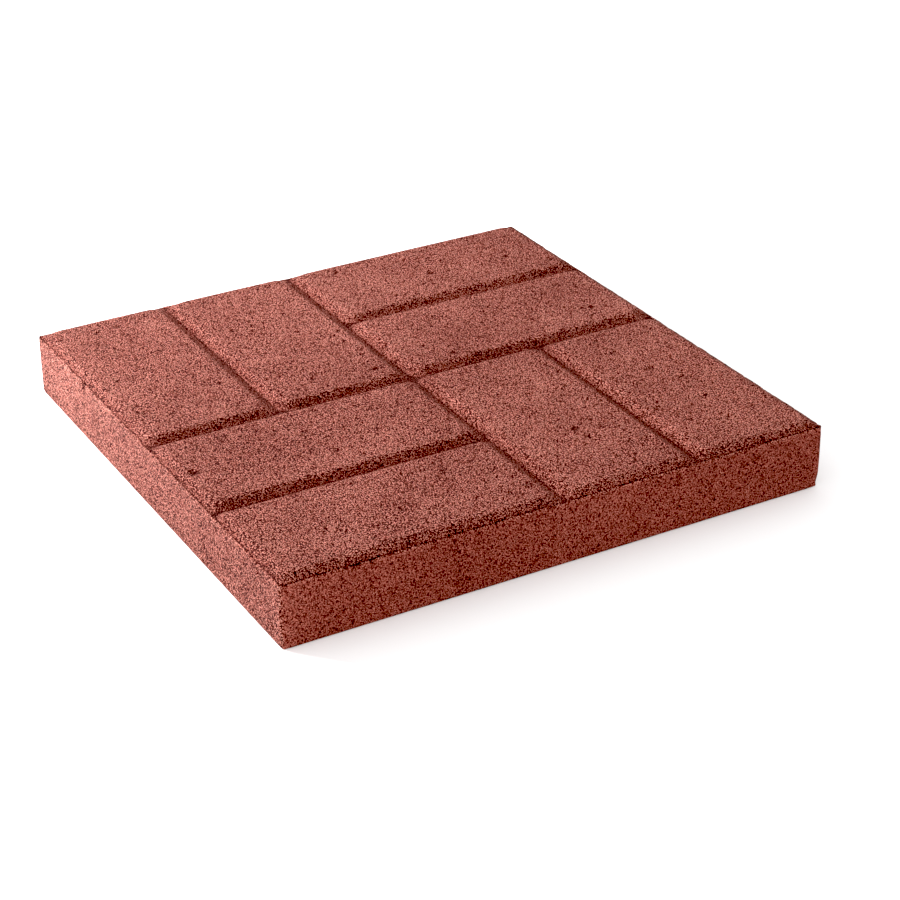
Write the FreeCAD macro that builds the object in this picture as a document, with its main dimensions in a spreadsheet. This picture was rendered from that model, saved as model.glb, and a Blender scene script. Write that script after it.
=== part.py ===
"""Square concrete stepping stone with a basket-weave brick face, one casting.

Frame: origin at the centre of the underside, +Z up, +X to the right, +Y to the back. Millimetres.
"""
import FreeCAD, Part
import os
import Sketcher

SHEET = "Dimensions"

doc = FreeCAD.newDocument("stepping_stone")

# Driving dimensions, in millimetres.
sheet = doc.addObject("Spreadsheet::Sheet", SHEET)
dimensions = [
    ("slab_side", "400", "length of each side of the square slab"),
    ("rim_height", "44.5", "height of the plain sides, and of the floor of the joints"),
    ("corner_radius", "3.5", "rounding of the four upright corners"),
    ("foot_radius", "1.5", "rounding of the bottom edge"),
    ("brick_pitch", "101.6", "joint centre to joint centre across a brick"),
    ("brick_relief", "4.3", "height of the brick faces above the joint floor"),
    ("joint_floor", "2.4", "width of the flat floor of a joint"),
    ("flank_run", "6.4", "width, seen from above, of the sloping flank of a brick"),
    ("rim_ledge", "1", "flat ledge between the outer bricks and the side faces"),
    ("hip_radius", "9", "rounding of the corners of a brick"),
    ("shoulder_radius", "6", "rounding where a flank turns into the brick's face"),
]
for row, (alias, number, note) in enumerate(dimensions, start=1):
    sheet.set(f"A{row}", alias)
    sheet.set(f"B{row}", number)
    sheet.set(f"C{row}", note)
    sheet.setAlias(f"B{row}", alias)
doc.recompute()


def size(alias):
    """A driving dimension as a number."""
    return float(sheet.get(alias))


face_height = size("rim_height") + size("brick_relief")
same_height = 0.001


def origin_plane(body, role):
    """One of the body's own origin planes, such as XY_Plane."""
    return next(feature for feature in body.Origin.OriginFeatures if feature.Role == role)


def sketch_at_height(body, name, height=None):
    """A sketch on the body's ground plane, or raised above it by a sheet expression."""
    sketch = body.newObject("Sketcher::SketchObject", name)
    sketch.AttachmentSupport = [(origin_plane(body, "XY_Plane"), "")]
    sketch.MapMode = "FlatFace"
    if height:
        sketch.setExpression("AttachmentOffset.Base.z", height)
    return sketch


def draw_rectangle(sketch, left, right, front, back):
    """A rectangle whose four sides lie where the four sheet expressions say."""
    x_left, x_right = float(sheet.evalExpression(left)), float(sheet.evalExpression(right))
    y_front, y_back = float(sheet.evalExpression(front)), float(sheet.evalExpression(back))
    corners = [
        FreeCAD.Vector(x_left, y_front, 0),
        FreeCAD.Vector(x_right, y_front, 0),
        FreeCAD.Vector(x_right, y_back, 0),
        FreeCAD.Vector(x_left, y_back, 0),
    ]
    for start in range(4):
        sketch.addGeometry(Part.LineSegment(corners[start], corners[(start + 1) % 4]), False)
    for start in range(4):
        sketch.addConstraint(Sketcher.Constraint("Coincident", start, 2, (start + 1) % 4, 1))
    sketch.addConstraint(Sketcher.Constraint("Horizontal", 0))
    sketch.addConstraint(Sketcher.Constraint("Vertical", 1))
    sketch.addConstraint(Sketcher.Constraint("Horizontal", 2))
    sketch.addConstraint(Sketcher.Constraint("Vertical", 3))
    bounds = [
        ("left_side", "DistanceX", 0, 1, x_left, left),
        ("front_side", "DistanceY", 0, 1, y_front, front),
        ("right_side", "DistanceX", 1, 2, x_right, right),
        ("back_side", "DistanceY", 1, 2, y_back, back),
    ]
    for name, kind, line, end, value, expression in bounds:
        index = sketch.addConstraint(Sketcher.Constraint(kind, -1, 1, line, end, value))
        sketch.renameConstraint(index, name)
        sketch.setExpression(f"Constraints.{name}", expression)


def edge_names(shape, wanted):
    """Names of the edges of a shape that pass a test."""
    return [f"Edge{number}" for number, edge in enumerate(shape.Edges, start=1) if wanted(edge)]


def add_fillet(body, name, base, wanted, radius):
    """A fillet on the edges of the base feature that pass a test."""
    fillet = body.newObject("PartDesign::Fillet", name)
    fillet.Base = (base, edge_names(base.Shape, wanted))
    fillet.setExpression("Radius", radius)
    doc.recompute()
    return fillet


def heights(edge):
    """Lowest and highest point of an edge."""
    box = edge.BoundBox
    return box.ZMin, box.ZMax


def is_upright(edge):
    """A corner edge of the slab, from the ground to the rim."""
    low, high = heights(edge)
    return low < same_height and abs(high - size("rim_height")) < same_height


def is_on_the_ground(edge):
    """An edge of the underside."""
    return heights(edge)[1] < same_height


def is_hip(edge):
    """A corner edge of a brick, sloping from the joint floor up to the face."""
    low, high = heights(edge)
    return abs(low - size("rim_height")) < same_height and abs(high - face_height) < same_height


def is_shoulder(edge):
    """An edge round the face of a brick."""
    return abs(heights(edge)[0] - face_height) < same_height


# The slab itself: a square prism up to the rim.
stone = doc.addObject("PartDesign::Body", "stepping_stone")
stone.Label = "stepping_stone"
stone.Placement = FreeCAD.Placement()

outline = sketch_at_height(stone, "slab_outline")
half_side = f"{SHEET}.slab_side / 2"
draw_rectangle(outline, f"-{half_side}", half_side, f"-{half_side}", half_side)
slab = stone.newObject("PartDesign::Pad", "slab")
slab.Profile = outline
slab.setExpression("Length", f"{SHEET}.rim_height")
doc.recompute()

# One quarter of the face, front left: two bricks that lie along X, one behind the other.
outer_side = f"-({SHEET}.slab_side / 2 - {SHEET}.rim_ledge)"
centre_joint = f"-{SHEET}.joint_floor / 2"
between_front = f"-{SHEET}.brick_pitch - {SHEET}.joint_floor / 2"
between_back = f"-{SHEET}.brick_pitch + {SHEET}.joint_floor / 2"
quarter = []
for name, front, back in [
    ("front_brick", outer_side, between_front),
    ("rear_brick", between_back, centre_joint),
]:
    brick_foot = sketch_at_height(stone, f"{name}_foot", f"{SHEET}.rim_height")
    draw_rectangle(brick_foot, outer_side, centre_joint, front, back)
    brick = stone.newObject("PartDesign::Pad", name)
    brick.Profile = brick_foot
    brick.setExpression("Length", f"{SHEET}.brick_relief")
    brick.setExpression("TaperAngle", f"-atan({SHEET}.flank_run / {SHEET}.brick_relief)")
    doc.recompute()
    quarter.append(brick)

# The same two bricks in every quarter, turned by a right angle each time: the basket weave.
weave = stone.newObject("PartDesign::PolarPattern", "basket_weave")
weave.Originals = quarter
weave.Axis = (next(f for f in stone.Origin.OriginFeatures if f.Role == "Z_Axis"), [""])
weave.Angle = 360
weave.Occurrences = 4
stone.Tip = weave
doc.recompute()

# Worn edges: the bricks' corners and faces first, then the slab's own corners and its foot.
hips = add_fillet(stone, "brick_hips", weave, is_hip, f"{SHEET}.hip_radius")
shoulders = add_fillet(stone, "brick_shoulders", hips, is_shoulder, f"{SHEET}.shoulder_radius")
corners = add_fillet(stone, "slab_corners", shoulders, is_upright, f"{SHEET}.corner_radius")
foot = add_fillet(stone, "slab_foot", corners, is_on_the_ground, f"{SHEET}.foot_radius")
stone.Tip = foot
doc.recompute()

# Nothing is written unless every feature is sound.
for item in doc.Objects:
    faults = [state for state in item.State if state in ("Invalid", "Error")]
    if faults:
        raise RuntimeError(f"{item.Name} is {faults}")
for body in doc.findObjects("PartDesign::Body"):
    if body.Shape.isNull() or not body.Shape.isValid():
        raise RuntimeError(f"{body.Label} has no valid shape")

os.makedirs("parts", exist_ok=True)
for body in doc.findObjects("PartDesign::Body"):
    body.Shape.exportStep(f"parts/{body.Label}.step")
    box = body.Shape.optimalBoundingBox()
    print(
        f"{body.Label}: {box.XLength:.2f} x {box.YLength:.2f} x {box.ZLength:.2f} mm,",
        f"{body.Shape.Volume / 1e6:.4f} litres, {len(body.Shape.Solids)} solid,",
        f"{len(body.Shape.Faces)} faces",
    )
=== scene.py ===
import bpy
import math
import numpy as np
from mathutils import Matrix, Vector
from mathutils.geometry import delaunay_2d_cdt


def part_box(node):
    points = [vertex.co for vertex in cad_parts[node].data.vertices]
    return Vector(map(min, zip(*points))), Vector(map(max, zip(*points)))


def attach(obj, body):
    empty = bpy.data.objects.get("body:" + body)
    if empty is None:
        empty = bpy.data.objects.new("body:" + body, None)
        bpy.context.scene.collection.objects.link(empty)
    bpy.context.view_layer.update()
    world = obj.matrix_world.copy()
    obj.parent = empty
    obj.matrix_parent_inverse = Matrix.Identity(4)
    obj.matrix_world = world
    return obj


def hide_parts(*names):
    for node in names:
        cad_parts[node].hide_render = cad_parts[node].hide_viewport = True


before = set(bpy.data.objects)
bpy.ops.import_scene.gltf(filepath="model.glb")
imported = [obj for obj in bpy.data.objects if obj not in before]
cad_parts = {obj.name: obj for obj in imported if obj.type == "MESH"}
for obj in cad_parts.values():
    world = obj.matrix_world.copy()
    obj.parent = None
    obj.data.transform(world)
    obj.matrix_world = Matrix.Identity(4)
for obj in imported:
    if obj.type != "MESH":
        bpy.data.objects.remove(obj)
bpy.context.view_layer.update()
mm = 0.001
stoneLow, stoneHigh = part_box("stepping_stone")
halfSide = (stoneHigh[0] - stoneLow[0]) / 2 / mm
faceHeight = (stoneHigh[2] - stoneLow[2]) / mm
print("frame loaded, stone", round(2 * halfSide), "mm square and", round(faceHeight, 1), "mm thick")

# shape of the casting, millimetres
casting = {
    "brickPitch": 101.6,      # joint centre to joint centre
    "relief": 4.3,            # face above joint floor
    "jointFloor": 2.4,
    "flankRun": 6.4,          # width of the slope from floor to face
    "rimLedge": 1.0,
    "hipBlend": 9.0,          # how far the corners of a brick are rounded
    "shoulderBlend": 1.1,     # height over which a flank turns into the face
    "footBlend": 0.9,
    "cornerRadius": 3.5,
    "arrisDrop": 0.4,         # wear on the top edge of the side faces
    "footRadius": 1.6,
    "ridgeHeight": 0.30,      # moulding ridge left along the rim
    "ridgeInset": 0.5,
    "creviceDepth": 0.9,      # crease behind the ridge
    "creviceInset": 1.7,
    "sideRows": 20,
    "fineStep": 1.05,         # mesh spacing at joints and rim
    "wideStep": 1.95,         # mesh spacing elsewhere
    "undersideStep": 9.0,
}


def softMin(a, b, blend):
    overlap = np.maximum(blend - np.abs(a - b), 0) / blend
    return np.minimum(a, b) - overlap * overlap * blend / 4


def softMax(a, b, blend):
    return -softMin(-a, -b, blend)


def brickOutlines(shape):
    # the two bricks of the front left quarter, then a right angle at a time
    outer, centre = halfSide - shape["rimLedge"], shape["jointFloor"] / 2
    between = shape["brickPitch"]
    quarter = [
        (-outer, -centre, -outer, -between - centre),
        (-outer, -centre, -between + centre, -centre),
    ]
    outlines = []
    for x0, x1, y0, y1 in quarter:
        for turn in range(4):
            outlines.append((min(x0, x1), max(x0, x1), min(y0, y1), max(y0, y1)))
            x0, x1, y0, y1 = -y0, -y1, x0, x1
    return outlines


def insideBricks(x, y, shape):
    # distance in from the foot of the nearest brick, negative out in a joint
    deepest = np.full(x.shape, -50.0)
    for x0, x1, y0, y1 in brickOutlines(shape):
        acrossX = (x1 - x0) / 2 - np.abs(x - (x0 + x1) / 2)
        acrossY = (y1 - y0) / 2 - np.abs(y - (y0 + y1) / 2)
        deepest = np.maximum(deepest, softMin(acrossX, acrossY, shape["hipBlend"]))
    return deepest


def faceProfile(x, y, shape):
    rise = insideBricks(x, y, shape) / shape["flankRun"] * shape["relief"]
    rise = softMax(softMin(rise, shape["relief"], shape["shoulderBlend"]), 0 * x, shape["footBlend"])
    return faceHeight - shape["relief"] + np.clip(rise, 0, shape["relief"])


def latticeNoise(points, size, seed):
    # smooth noise from -1 to 1, one lump every size millimetres
    rng = np.random.default_rng(seed)
    table = rng.uniform(-1, 1, 4096)
    cell = np.floor(points / size).astype(np.int64)
    part = points / size - cell
    part = part * part * (3 - 2 * part)
    total = np.zeros(len(points))
    for corner in range(8):
        step = np.array([corner & 1, corner >> 1 & 1, corner >> 2 & 1])
        spot = cell + step
        index = (spot[:, 0] * 73856093 ^ spot[:, 1] * 19349663 ^ spot[:, 2] * 83492791) & 4095
        weight = np.prod(np.where(step == 1, part, 1 - part), axis=1)
        total += table[index] * weight
    return total


def gridLines(shape):
    # coordinates of the mesh lines from one side to the other, close together at joints and rim
    joints = [-halfSide, -shape["brickPitch"], 0.0, shape["brickPitch"], halfSide]
    reach = shape["flankRun"] + shape["jointFloor"] / 2 + 1.2
    lines, x = [-halfSide, -halfSide + 0.5], -halfSide + 0.5
    while True:
        near = any(abs(x - joint) < reach for joint in joints)
        x += shape["fineStep"] if near else shape["wideStep"]
        if x > -shape["wideStep"] / 2:
            break
        lines.append(x)
    half = np.array(lines)
    return np.concatenate([half, [0.0], -half[::-1]])


def roundCorners(x, y, radius):
    # bends the square grid so that its four corners follow an arc
    inner = halfSide - radius
    u = np.clip((np.abs(x) - inner) / radius, 0, 1)
    v = np.clip((np.abs(y) - inner) / radius, 0, 1)
    newX = np.where(u > 0, inner + radius * u * np.sqrt(1 - v * v / 2), np.abs(x))
    newY = np.where(v > 0, inner + radius * v * np.sqrt(1 - u * u / 2), np.abs(y))
    return np.sign(x) * newX, np.sign(y) * newY


def rimDistance(x, y):
    return halfSide - np.maximum(np.abs(x), np.abs(y))


def topHeights(x, y, shape):
    # face, joints, and at the rim the worn arris with its moulding ridge and crevice
    height = faceProfile(x, y, shape)
    edge = rimDistance(x, y)
    points = np.stack([x, y, 0 * x], axis=1)
    broken = 0.45 + 0.9 * latticeNoise(points, 9.0, 11) + 0.5 * latticeNoise(points, 3.0, 12)
    broken = np.clip(broken, 0, 1.2)
    height += shape["ridgeHeight"] * broken * np.exp(-(((edge - shape["ridgeInset"]) / 0.45) ** 2))
    height -= shape["creviceDepth"] * broken * np.exp(-(((edge - shape["creviceInset"]) / 0.6) ** 2))
    height -= shape["arrisDrop"] * np.exp(-((edge / 0.35) ** 2))
    return height


def buildCasting(shape):
    lines = gridLines(shape)
    count = len(lines)
    gridX, gridY = [g.ravel() for g in np.meshgrid(lines, lines, indexing="ij")]
    top = np.stack([gridX, gridY, topHeights(gridX, gridY, shape)], axis=1)
    top[:, 0], top[:, 1] = roundCorners(gridX, gridY, shape["cornerRadius"])
    index = np.arange(count * count).reshape(count, count)
    a, b, c, d = index[:-1, :-1], index[1:, :-1], index[1:, 1:], index[:-1, 1:]
    quads = [np.stack([a.ravel(), b.ravel(), c.ravel(), d.ravel()], axis=1)]

    # the rim of the grid, once round, anticlockwise from above
    rim = np.concatenate([index[:-1, 0], index[-1, :-1], index[:0:-1, -1], index[0, :0:-1]])
    points, start = [top], len(top)
    above = rim
    rimTop = top[rim]
    inner = halfSide - shape["cornerRadius"]
    outward = rimTop[:, :2] - np.clip(rimTop[:, :2], -inner, inner)
    outward /= np.linalg.norm(outward, axis=1, keepdims=True)
    for row in range(1, shape["sideRows"] + 1):
        share = row / shape["sideRows"]
        share = share + 0.05 * math.sin(2 * math.pi * share)      # rows a little closer near the foot
        ring = rimTop.copy()
        ring[:, 2] = rimTop[:, 2] * (1 - share)
        low = np.clip(1 - ring[:, 2] / shape["footRadius"], 0, 1)
        ring[:, :2] -= outward * (shape["footRadius"] * (1 - np.sqrt(1 - low * low)))[:, None] * 0.7
        points.append(ring)
        below = start + np.arange(len(rim))
        start += len(rim)
        quads.append(np.stack([above, below, np.roll(below, -1), np.roll(above, -1)], axis=1))
        above = below
    points = np.concatenate(points)

    # flat underside: a loose net of triangles inside the lowest ring
    ringPoints = [Vector(points[i, :2]) for i in above]
    net = np.arange(-halfSide + 6, halfSide - 5, shape["undersideStep"])
    netPoints = [Vector((x, y)) for x in net for y in net]
    ringEdges = [(i, (i + 1) % len(above)) for i in range(len(above))]
    spots, _, tris, origin, _, _ = delaunay_2d_cdt(ringPoints + netPoints, ringEdges, [], 1, 1e-4)
    lookup = []
    extra = []
    for spot, sources in zip(spots, origin):
        ringSource = [s for s in sources if s < len(above)]
        if ringSource:
            lookup.append(int(above[ringSource[0]]))
        else:
            lookup.append(start + len(extra))
            extra.append((spot.x, spot.y, 0.0))
    points = np.concatenate([points, np.array(extra)])
    faces = [tuple(int(v) for v in quad) for group in quads for quad in group]
    faces += [tuple(lookup[v] for v in reversed(tri)) for tri in tris]
    return points, faces, len(top)


points, faces, topCount = buildCasting(casting)
mesh = bpy.data.meshes.new("castStone")
mesh.from_pydata((points * mm).tolist(), [], faces)
mesh.update()
stone = bpy.data.objects.new("castStone", mesh)
bpy.context.scene.collection.objects.link(stone)
triangles = sum(len(p.vertices) - 2 for p in mesh.polygons)
print("casting meshed,", len(points), "points,", triangles, "triangles")

# roughness of the cast surface, millimetres
castSkin = {
    "seed": 7,
    "grain": (2.6, 0.10),         # size and depth of each lumpiness
    "lumps": (6.5, 0.08),
    "swell": (48.0, 0.12),
    "pitCount": 420,
    "pitRadius": (0.9, 2.3),
    "pitDepth": (0.4, 1.1),
    "edgeWear": 0.6,              # most that is broken off an arris
    "edgeReach": 2.6,
    "cornerWear": 1.6,
    "clearMark": 2.4,             # a pit this wide or wider shows at full strength
    # (x, y, z, radius, depth) of the marks that stand out
    "marks": [
        (33, 182, 48.8, 3.2, 1.4), (96, 145, 48.8, 3.4, 1.3), (-62, 30, 48.8, 2.6, 1.0),
        (-18, 21, 48.8, 2.8, 1.2), (6, 51, 48.8, 2.4, 1.0), (42, 15, 48.8, 2.6, 1.1),
        (45, -11, 48.8, 2.6, 1.0), (-119, -26, 48.8, 2.6, 1.0), (-155, -24, 48.8, 2.4, 0.9),
        (166, 30, 48.8, 2.8, 1.1), (145, -76, 48.8, 2.8, 1.1), (53, -125, 48.8, 3.0, 1.1),
        (-80, -125, 48.8, 2.6, 1.0), (-22, 185, 48.8, 2.8, 1.2), (-106, 189, 48.8, 2.6, 1.0),
        (-189, -52, 48.0, 5.0, 1.6), (-200, 111, 43.0, 3.5, 1.6),
        (-148, -200, 44.0, 2.6, 1.8), (-138, -200, 44.0, 2.2, 1.5),
    ],
}


def sampleSkin(count, rng):
    # random places on the top and the four sides, in proportion to their area
    sideHeight = faceHeight - casting["relief"]
    sideShare = 8 * halfSide * sideHeight / (8 * halfSide * sideHeight + 4 * halfSide * halfSide)
    spots = []
    for _ in range(count):
        along = rng.uniform(-halfSide, halfSide)
        if rng.random() < sideShare:
            height, side = rng.uniform(0, sideHeight), rng.integers(4)
            x, y = [(along, -halfSide), (halfSide, along), (along, halfSide), (-halfSide, along)][side]
            spots.append((x, y, height))
        else:
            spots.append((along, rng.uniform(-halfSide, halfSide), faceHeight))
    return spots


def roughen(mesh, skin, shape):
    rng = np.random.default_rng(skin["seed"])
    place = points.copy()
    normal = np.empty(len(place) * 3)
    mesh.vertices.foreach_get("normal", normal)
    normal = normal.reshape(-1, 3)
    x, y, z = place.T
    underside = z < 0.01
    depth = np.zeros(len(place))
    for number, key in enumerate(("grain", "lumps", "swell")):
        size, amount = skin[key]
        depth += amount * (0.5 + 0.5 * latticeNoise(place, size, skin["seed"] + number))

    # broken arrises: the top rim of the sides, the upright corners and the foot
    rimHeight = faceHeight - shape["relief"]
    side = rimDistance(x, y)
    toRim = np.hypot(np.maximum(side, 0), np.maximum(rimHeight - z, 0))
    toRim = np.where(z > rimHeight + 1.2, 99, toRim)
    toFoot = np.hypot(side, z)
    toUpright = np.hypot(halfSide - np.abs(x), halfSide - np.abs(y))
    arris = np.minimum(np.minimum(toRim, toFoot), toUpright)
    near = np.clip(1 - arris / skin["edgeReach"], 0, 1)
    crumb = np.clip(latticeNoise(place, 2.4, 31) + 0.8 * latticeNoise(place, 7.0, 32) - 0.1, 0, 1)
    nearCorner = np.exp(-((np.hypot(x + halfSide, y + halfSide) / 9) ** 2))       # coarse near corner
    wornFoot = np.exp(-((np.hypot(np.hypot(x - halfSide, y + halfSide), z) / 7) ** 2))
    depth += skin["edgeWear"] * near * crumb * (1 + 0.8 * nearCorner)
    coarse = nearCorner * np.clip(latticeNoise(place, 3.0, 33), 0, 1)
    depth += skin["cornerWear"] * (wornFoot + 0.35 * coarse)

    pits = np.zeros(len(place))
    spots = []
    for spot in sampleSkin(skin["pitCount"], rng):
        spots.append((spot, rng.uniform(*skin["pitRadius"]), rng.uniform(*skin["pitDepth"])))
    spots += [(mark[:3], mark[3], mark[4]) for mark in skin["marks"]]
    for spot, radius, deep in spots:
        away = np.abs(place - spot)
        close = np.nonzero((away < 2.2 * radius).all(axis=1))[0]
        share = np.linalg.norm(place[close] - spot, axis=1) / radius
        share *= 1 + 0.35 * latticeNoise(place[close], 1.9, 41)
        hollow = np.clip(1.2 - share, 0, 1)
        hollow = hollow * hollow * (3 - 2 * hollow)
        depth[close] += deep * hollow
        pits[close] = np.maximum(pits[close], hollow * min(1.0, radius / skin["clearMark"]))
    depth[underside] *= 0.15
    moved = place - normal * depth[:, None]
    moved[:, :2] = np.clip(moved[:, :2], -halfSide, halfSide)
    moved[:, 2] = np.clip(moved[:, 2], 0, faceHeight)
    mesh.vertices.foreach_set("co", (moved * mm).ravel())
    mesh.update()
    return np.clip(near + 0.6 * nearCorner, 0, 1), pits


def addMask(mesh, name, values):
    layer = mesh.attributes.new(name, "FLOAT", "POINT")
    layer.data.foreach_set("value", np.asarray(values, dtype=np.float32))


arrisMask, pitMask = roughen(mesh, castSkin, casting)
onTop = np.arange(len(points)) < topCount
jointMask = np.clip((faceHeight - points[:, 2]) / casting["relief"], 0, 1) * onTop
inFromRim = rimDistance(points[:, 0], points[:, 1])
jointMask *= np.clip(inFromRim / 0.9 - 0.4, 0, 1)       # the ridge on the rim stays pale
creaseMask = np.exp(-((inFromRim - casting["creviceInset"]) ** 2)) * onTop
addMask(mesh, "arrisMask", arrisMask)
addMask(mesh, "pitMask", pitMask)
addMask(mesh, "jointMask", jointMask)
addMask(mesh, "creaseMask", creaseMask)
mesh.polygons.foreach_set("use_smooth", [True] * len(mesh.polygons))
print("surface roughened")

# concrete
redConcrete = {
    "paste": (0.388, 0.110, 0.084),        # pigmented cement, colours are linear
    "deepPaste": (0.190, 0.052, 0.044),
    "sand": (0.655, 0.228, 0.180),
    "paleSand": (0.900, 0.415, 0.335),
    "pore": (0.050, 0.013, 0.012),
    "sandSize": 0.98,                      # millimetres
    "fineSize": 0.80,
    "speckleSize": 0.90,
    "poreSize": 2.4,
    "mottleSize": 4.5,
    "cloudSize": 38.0,
    "patchSize": 120.0,
    "crackSize": 2.9,                      # lumps of a broken spot
    "mouldTone": 0.52,                     # what the tone of the sides gathers about
    "mouldAndRakingLightContrast": (1.0, 0.46),         # the left side, with painted raking light, then the other sides
    "bumpDepth": 0.0013,                   # metres
    "roughness": 0.92,
    "specular": 0.15,
    "dirtAndShadeDarkening": 0.34,                 # dirt and painted shade on the joint floors, painted shade in the crease at the rim
    # painted shade on the joint flanks
    "flankShade": 0.06,
}


def makeConcrete(values):
    material = bpy.data.materials.new("redConcrete")
    material.use_nodes = True
    tree = material.node_tree
    tree.nodes.clear()

    def node(kind, **settings):
        made = tree.nodes.new(kind)
        for key, value in settings.items():
            if hasattr(made, key):
                setattr(made, key, value)
            else:
                made.inputs[key.replace("_", " ")].default_value = value
        return made

    def join(source, target):
        tree.links.new(source, target)

    def maths(operation, first, second=None, third=None):
        made = node("ShaderNodeMath", operation=operation)
        for socket, value in zip(made.inputs, (first, second, third)):
            if value is None:
                continue
            if isinstance(value, (int, float)):
                socket.default_value = value
            else:
                join(value, socket)
        return made.outputs[0]

    def ramp(value, low, high, toLow=0.0, toHigh=1.0):
        made = node("ShaderNodeMapRange", interpolation_type="SMOOTHSTEP")
        join(value, made.inputs["Value"])
        limits = {"From Min": low, "From Max": high, "To Min": toLow, "To Max": toHigh}
        for key, number in limits.items():
            made.inputs[key].default_value = number
        return made.outputs[0]

    def blendValue(share, first, second):
        return maths("MULTIPLY_ADD", share, maths("SUBTRACT", second, first), first)

    place = node("ShaderNodeTexCoord").outputs["Object"]

    def noise(size, detail=2.0, rough=0.5):
        made = node("ShaderNodeTexNoise", Scale=1 / (size * mm), Detail=detail, Roughness=rough)
        join(place, made.inputs["Vector"])
        return made.outputs["Fac"]

    def grains(size, feature="F1", vector=None):
        made = node("ShaderNodeTexVoronoi", feature=feature, Scale=1 / (size * mm))
        join(vector or place, made.inputs["Vector"])
        return made

    def warped(vector, amount, size):
        # the place shifted about by a little noise, so that lines waver
        shift = node("ShaderNodeVectorMath", operation="MULTIPLY_ADD")
        wave = node("ShaderNodeTexNoise", Scale=1 / (size * mm), Detail=1.0)
        join(vector, wave.inputs["Vector"])
        join(wave.outputs["Color"], shift.inputs[0])
        shift.inputs[1].default_value = (amount, amount, amount)
        join(vector, shift.inputs[2])
        return shift.outputs[0]

    def channels(colourSocket):
        made = node("ShaderNodeSeparateColor")
        join(colourSocket, made.inputs[0])
        return made.outputs

    def mask(name):
        return node("ShaderNodeAttribute", attribute_name=name).outputs["Fac"]

    arris, pit, joint = mask("arrisMask"), mask("pitMask"), mask("jointMask")

    def addUp(parts, start):
        # start plus each part's swing about its middle, as (socket, weight)
        total = start
        for socket, weight in parts:
            total = maths("MULTIPLY_ADD", maths("SUBTRACT", socket, 0.5), weight, total)
        return total

    # how light each spot is: sand grains of their own tone, finer sand between, mottling
    sandGrain = grains(values["sandSize"])
    sandTone = channels(sandGrain.outputs["Color"])
    fineGrain = grains(values["fineSize"])
    fineTone = channels(fineGrain.outputs["Color"])
    speckle = noise(values["speckleSize"], 1.0, 0.5)
    mottle = noise(values["mottleSize"], 4.0, 0.6)
    cloud = noise(values["cloudSize"], 3.0, 0.55)
    patch = noise(values["patchSize"], 2.0, 0.5)
    grit = addUp([(sandTone[0], 0.27), (fineTone[1], 0.16), (speckle, 1.1), (mottle, 0.08)], 0.545)
    grit = addUp([(sandGrain.outputs["Distance"], -2.3), (fineGrain.outputs["Distance"], -0.7)], grit)

    poreField = noise(values["poreSize"], 2.0, 0.6)
    pores = ramp(poreField, 0.34, 0.30)
    crackNet = grains(values["crackSize"], "DISTANCE_TO_EDGE", warped(place, 0.0011, 1.6))
    cracks = ramp(crackNet.outputs["Distance"], 0.13, 0.03)
    crumbling = maths("MULTIPLY", arris, ramp(noise(9.0, 2.0, 0.5), 0.54, 0.66))
    broken = maths("MAXIMUM", crumbling, ramp(pit, 0.02, 0.30))
    pores = maths("MAXIMUM", pores, maths("MULTIPLY", broken, cracks))
    pores = maths("MAXIMUM", pores, ramp(pit, 0.55, 0.95, 0.0, 0.8))
    tone = addUp([(cloud, 0.30), (patch, 0.25), (maths("MULTIPLY", arris, mottle), 0.35)], grit)
    tone = maths("MULTIPLY_ADD", pores, -0.7, tone)
    # the flanks are closer and duller and get a little painted shade, and dirt and painted shade lie on
    # the floor of the joints
    dullShadedFlank = maths("SUBTRACT", tone, values["mouldTone"])
    dullShadedFlank = maths("MULTIPLY_ADD", dullShadedFlank, 0.8, values["mouldTone"] - values["flankShade"])
    tone = blendValue(ramp(joint, 0.25, 0.75), tone, dullShadedFlank)
    # painted shade in the crease behind the rim ridge, dirt and painted shade on the joint floors
    jointDirtAndCreaseShade = maths("MAXIMUM", ramp(joint, 0.94, 1.0), ramp(mask("creaseMask"), 0.55, 0.95, 0.0, 0.8))
    tone = maths("MULTIPLY_ADD", jointDirtAndCreaseShade, -values["dirtAndShadeDarkening"], tone)

    # the sides lay against the mould: the grain is closed there and the tone more even
    facing = node("ShaderNodeSeparateXYZ")
    join(node("ShaderNodeNewGeometry").outputs["Normal"], facing.inputs[0])
    steep = ramp(facing.outputs["Z"], 0.75, 0.25)
    # the left side gets stronger grain contrast as painted raking light
    rakingLitSide = ramp(facing.outputs["X"], -0.35, -0.85)
    contrast = blendValue(rakingLitSide, values["mouldAndRakingLightContrast"][1], values["mouldAndRakingLightContrast"][0])
    moulded = maths("SUBTRACT", tone, values["mouldTone"])
    moulded = maths("MULTIPLY_ADD", moulded, contrast, values["mouldTone"])
    tone = blendValue(steep, tone, moulded)

    palette = node("ShaderNodeValToRGB")
    stops = palette.color_ramp.elements
    stops[0].position, stops[0].color = 0.0, (*values["pore"], 1)
    stops[1].position, stops[1].color = 1.0, (*values["paleSand"], 1)
    for share, name in ((0.27, "deepPaste"), (0.50, "paste"), (0.74, "sand")):
        stops.new(share).color = (*values[name], 1)
    join(tone, palette.inputs[0])
    colour = palette.outputs[0]

    # relief: light grains stand up, pores are sunk
    height = maths("MULTIPLY_ADD", pores, -0.8, grit)
    bump = node("ShaderNodeBump", Strength=1.0, Distance=values["bumpDepth"])
    join(height, bump.inputs["Height"])

    shader = node("ShaderNodeBsdfPrincipled", Roughness=values["roughness"])
    shader.inputs["Specular IOR Level"].default_value = values["specular"]
    join(colour, shader.inputs["Base Color"])
    join(bump.outputs["Normal"], shader.inputs["Normal"])
    output = node("ShaderNodeOutputMaterial")
    join(shader.outputs[0], output.inputs["Surface"])
    return material


mesh.materials.append(makeConcrete(redConcrete))
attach(stone, "root")
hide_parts("stepping_stone")
print("concrete mixed")

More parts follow.
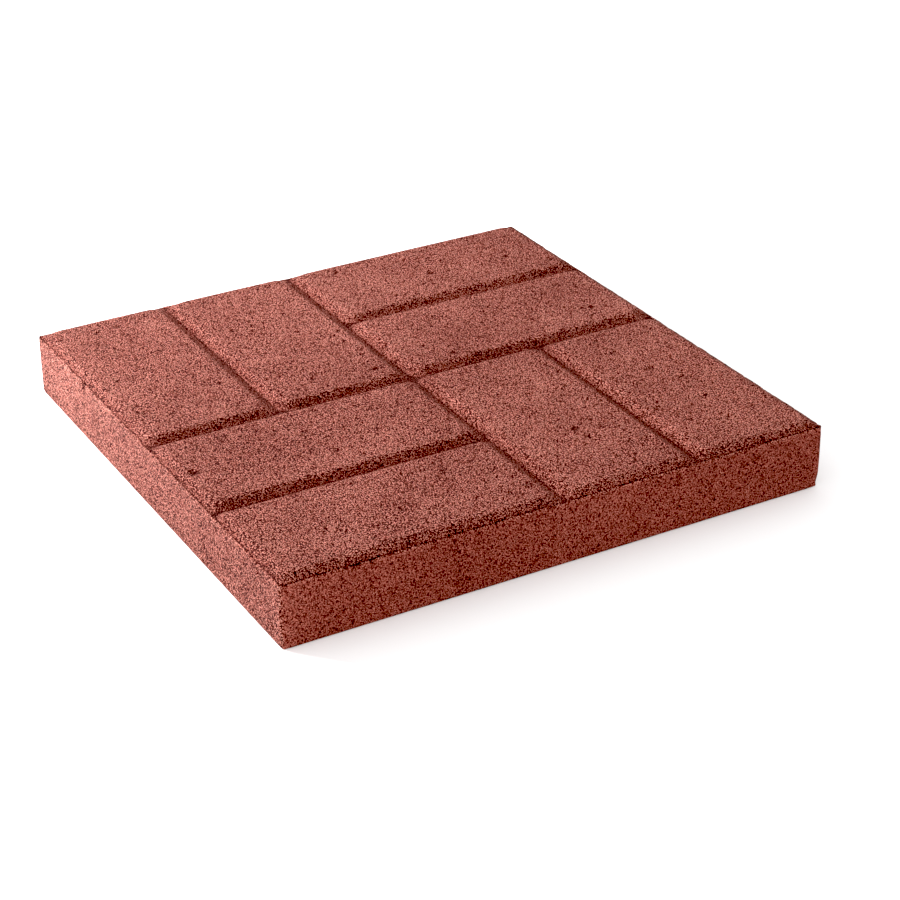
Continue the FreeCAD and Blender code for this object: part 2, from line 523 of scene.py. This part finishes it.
# floor, light and camera
studio = {
    "floorSize": 9.0,
    "floorColour": (0.93, 0.93, 0.93),
    "worldStrength": 1.19,
    "keyPlace": (-0.73, 0.75, 0.51),
    "keySize": 0.5,
    "keyPower": 38,
    "fillPlace": (-0.6, -2.2, 0.45),
    "fillSize": 1.5,
    "fillPower": 29,
    "exposure": 0.0,
    "blackLevel": 0.045,       # the camera's own contrast
}


def addFloor(values):
    half = values["floorSize"] / 2
    floorMesh = bpy.data.meshes.new("studioFloor")
    corners = [(-half, -half, 0), (half, -half, 0), (half, half, 0), (-half, half, 0)]
    floorMesh.from_pydata(corners, [], [(0, 1, 2, 3)])
    floor = bpy.data.objects.new("studioFloor", floorMesh)
    bpy.context.scene.collection.objects.link(floor)
    floor.location.z = stoneLow[2] - 0.0003
    paint = bpy.data.materials.new("palePaper")
    paint.use_nodes = True
    shader = paint.node_tree.nodes["Principled BSDF"]
    shader.inputs["Base Color"].default_value = (*values["floorColour"], 1)
    shader.inputs["Roughness"].default_value = 0.9
    floorMesh.materials.append(paint)


def addArea(name, place, size, power, aim=(0, 0, 0.02)):
    lamp = bpy.data.lights.new(name, "AREA")
    lamp.size = size
    lamp.energy = power
    lampObject = bpy.data.objects.new(name, lamp)
    lampObject.location = place
    lampObject.rotation_euler = (Vector(aim) - Vector(place)).to_track_quat("-Z", "Y").to_euler()
    bpy.context.scene.collection.objects.link(lampObject)


def addWorld(strength):
    world = bpy.data.worlds.new("studioAir")
    world.use_nodes = True
    background = world.node_tree.nodes["Background"]
    background.inputs["Color"].default_value = (1, 1, 1, 1)
    background.inputs["Strength"].default_value = strength
    bpy.context.scene.world = world


addFloor(studio)
addArea("keyLight", studio["keyPlace"], studio["keySize"], studio["keyPower"])
addArea("fillLight", studio["fillPlace"], studio["fillSize"], studio["fillPower"])
addWorld(studio["worldStrength"])

shot = {
    "azimuth": -28.41,       # degrees round from the front, seen from above
    "elevation": 27.29,
    "roll": -1.0,
    "distance": 1.607,       # metres from the aim point
    "aimHeight": 0.020,
    "lens": 92.27,
    "shift": (0.0408, -0.0434),
}


def addCamera(values):
    azimuth, elevation = math.radians(values["azimuth"]), math.radians(values["elevation"])
    level = Vector((math.sin(azimuth), -math.cos(azimuth), 0))
    back = level * math.cos(elevation) + Vector((0, 0, math.sin(elevation)))
    right = Vector((0, 0, 1)).cross(back).normalized()
    up = back.cross(right)
    turn = Matrix((right, up, back)).transposed() @ Matrix.Rotation(math.radians(values["roll"]), 3, "Z")
    data = bpy.data.cameras.new("shotCamera")
    data.lens = values["lens"]
    data.sensor_width = 36
    data.shift_x, data.shift_y = values["shift"]
    data.clip_end = 50
    camera = bpy.data.objects.new("shotCamera", data)
    place = back * values["distance"] + Vector((0, 0, values["aimHeight"]))
    camera.matrix_world = Matrix.Translation(place) @ turn.to_4x4()
    bpy.context.scene.collection.objects.link(camera)
    bpy.context.scene.camera = camera


addCamera(shot)
view = bpy.context.scene.view_settings
view.view_transform = "Standard"
view.use_curve_mapping = True
view.curve_mapping.black_level = [studio["blackLevel"]] * 3
view.curve_mapping.white_level = [1 + studio["blackLevel"]] * 3
view.exposure = studio["exposure"]
print("studio and camera set")
